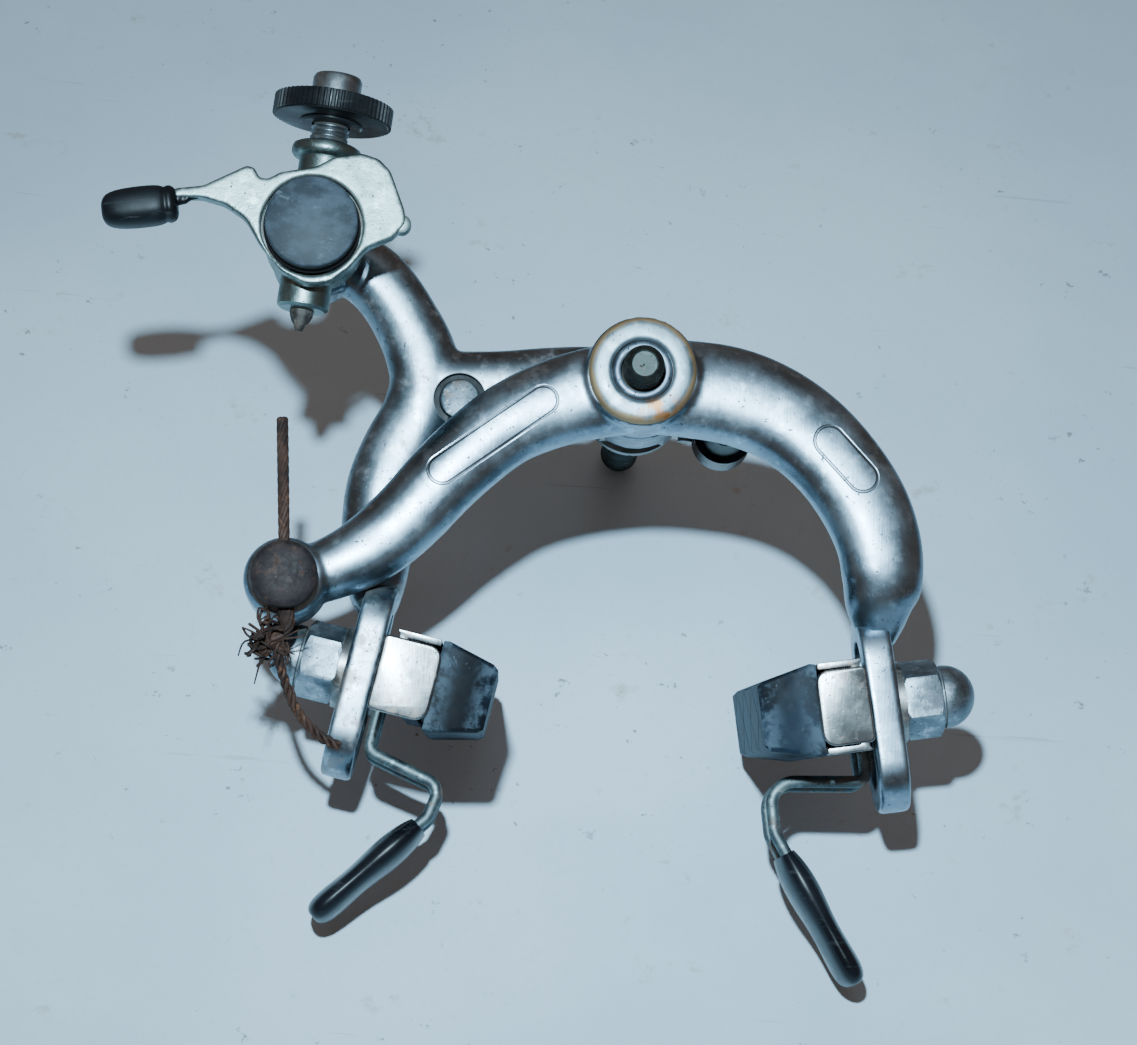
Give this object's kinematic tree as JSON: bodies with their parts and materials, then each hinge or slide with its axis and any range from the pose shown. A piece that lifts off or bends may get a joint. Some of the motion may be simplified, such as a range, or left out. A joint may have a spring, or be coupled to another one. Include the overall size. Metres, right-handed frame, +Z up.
{
  "type": "rim brake caliper",
  "caption": "Bicycle rim brake caliper: two crossing forged arms on one pivot bolt, slotted ends with sliding pads, cable anchor and quick-release cable hanger.",
  "frame": {"origin": "on the pivot bolt axis, on the rear face of the serrated washer, which seats on the bicycle frame", "axes": "+Z up (pads hang below the bolt), +X to the right as seen from the front of the caliper, +Y along the bolt from the front of the caliper to the bicycle frame"},
  "size_m": [0.1322, 0.086, 0.1278],
  "materials": {
    "polished_alloy": "worn, bluish, pitted",
    "bolt_steel": "dull zinc",
    "chromed_ring": "polished, rust at the edge",
    "bush_steel": "turned",
    "washer_brass": "dull",
    "block_steel": "dull",
    "spring_wire": "drawn wire",
    "black_nylon": "matte",
    "rusty_steel": "rusted dark brown",
    "satin_alloy": "satin, pitted",
    "disc_grey": "dull blue-grey",
    "bright_rivet": "bright",
    "black_grip": "scuffed black",
    "liner_grey": "dirty grey",
    "black_wheel": "moulded black",
    "chromed_steel": "bright, spotted",
    "pad_rubber": "grey-blue, scuffed",
    "nut_chrome": "chromed, dirty",
    "guide_wire": "zinc plated wire",
    "black_sleeve": "dirty black"
  },
  "bodies": {
    "mount": {"pivot_bolt": "bolt_steel", "front_ring": "chromed_ring", "pivot_bush": "bush_steel", "mid_washer": "bush_steel", "rear_washer": "washer_brass", "spring_block": "block_steel", "serrated_washer": "block_steel", "return_spring": "spring_wire"},
    "front_arm_body": {"front_arm": "polished_alloy", "right_spring_post": "bolt_steel", "right_post_sleeve": "black_nylon"},
    "rear_arm_body": {"rear_arm": "polished_alloy", "left_spring_post": "bolt_steel", "left_post_sleeve": "black_nylon"},
    "anchor": {"anchor_bolt": "rusty_steel", "anchor_washer": "rusty_steel", "anchor_nut": "rusty_steel", "cable_stub": "rusty_steel", "cable_strands": "rusty_steel"},
    "hanger": {"hanger_body": "satin_alloy", "hanger_clip": "block_steel", "hanger_disc": "disc_grey"},
    "lever": {"release_lever": "satin_alloy", "lever_stop": "bright_rivet", "lever_grip": "black_grip"},
    "tube": {"stop_tube": "satin_alloy"},
    "liner": {"adjuster_liner": "liner_grey"},
    "adjuster": {"adjuster_barrel": "satin_alloy", "thumbwheel": "black_wheel"},
    "right_shoe": {"right_pad_holder": "chromed_steel", "right_pad_post": "bolt_steel", "right_brake_pad": "pad_rubber", "right_shoe_washer": "bolt_steel", "right_nut_washer": "bolt_steel", "right_acorn_nut": "nut_chrome", "right_wheel_guide": "guide_wire", "right_guide_sleeve": "black_sleeve"},
    "left_shoe": {"left_pad_holder": "chromed_steel", "left_pad_post": "bolt_steel", "left_brake_pad": "pad_rubber", "left_shoe_washer": "bolt_steel", "left_nut_washer": "bolt_steel", "left_acorn_nut": "nut_chrome", "left_wheel_guide": "guide_wire", "left_guide_sleeve": "black_sleeve"}
  },
  "joints": [
    {"name": "front_arm_pivot", "type": "hinge", "parent": "mount", "child": "front_arm_body", "pos_m": [0, 0, 0], "axis": [0, 1, 0], "range_deg": [0, 12.5], "stiffness_Nm_per_rad": 0.6, "springref_deg": -20.05, "deforming": ["return_spring"]},
    {"name": "rear_arm_pivot", "type": "hinge", "parent": "mount", "child": "rear_arm_body", "pos_m": [0, 0, 0], "axis": [0, 1, 0], "range_deg": [-12.55, 0]},
    {"name": "anchor_turn", "type": "hinge", "parent": "front_arm_body", "child": "anchor", "pos_m": [-0.0496, -0.024, -0.0334], "axis": [0, 1, 0], "range_deg": [-16.35, 0]},
    {"name": "hanger_swivel", "type": "hinge", "parent": "rear_arm_body", "child": "hanger", "pos_m": [-0.049, -0.013, 0.0171], "axis": [0, 1, 0], "range_deg": [0, 12.55]},
    {"name": "release_lever_turn", "type": "hinge", "parent": "hanger", "child": "lever", "pos_m": [-0.049, -0.035, 0.0171], "axis": [0, -1, 0], "range_deg": [0, 60.05]},
    {"name": "stop_tube_slide", "type": "slide", "parent": "hanger", "child": "tube", "axis": [-0.0837, 0, -0.9965], "range_m": [0, 0.0015]},
    {"name": "adjuster_lift", "type": "slide", "parent": "tube", "child": "liner", "axis": [0.0837, 0, 0.9965], "range_m": [-0.001, 0.004]},
    {"name": "adjuster_turn", "type": "hinge", "parent": "liner", "child": "adjuster", "pos_m": [-0.049, -0.028, 0.0171], "axis": [0.0837, 0, 0.9965], "range_deg": [-361, 1441]},
    {"name": "right_shoe_slide", "type": "slide", "parent": "front_arm_body", "child": "right_shoe", "axis": [-0.1857, 0, 0.9826], "range_m": [-0.0085, 0.002]},
    {"name": "left_shoe_slide", "type": "slide", "parent": "rear_arm_body", "child": "left_shoe", "axis": [0.1857, 0, 0.9826], "range_m": [-0.0085, 0]}
  ],
  "couplings": [
    {"joint": "rear_arm_pivot", "follows": "front_arm_pivot", "ratio": -1},
    {"joint": "anchor_turn", "follows": "front_arm_pivot", "ratio": -1.3},
    {"joint": "hanger_swivel", "follows": "front_arm_pivot", "ratio": 1},
    {"joint": "release_lever_turn", "follows": "stop_tube_slide", "rad_per_m": 698.13},
    {"joint": "adjuster_turn", "follows": "adjuster_lift", "rad_per_m": 6283.2}
  ]
}
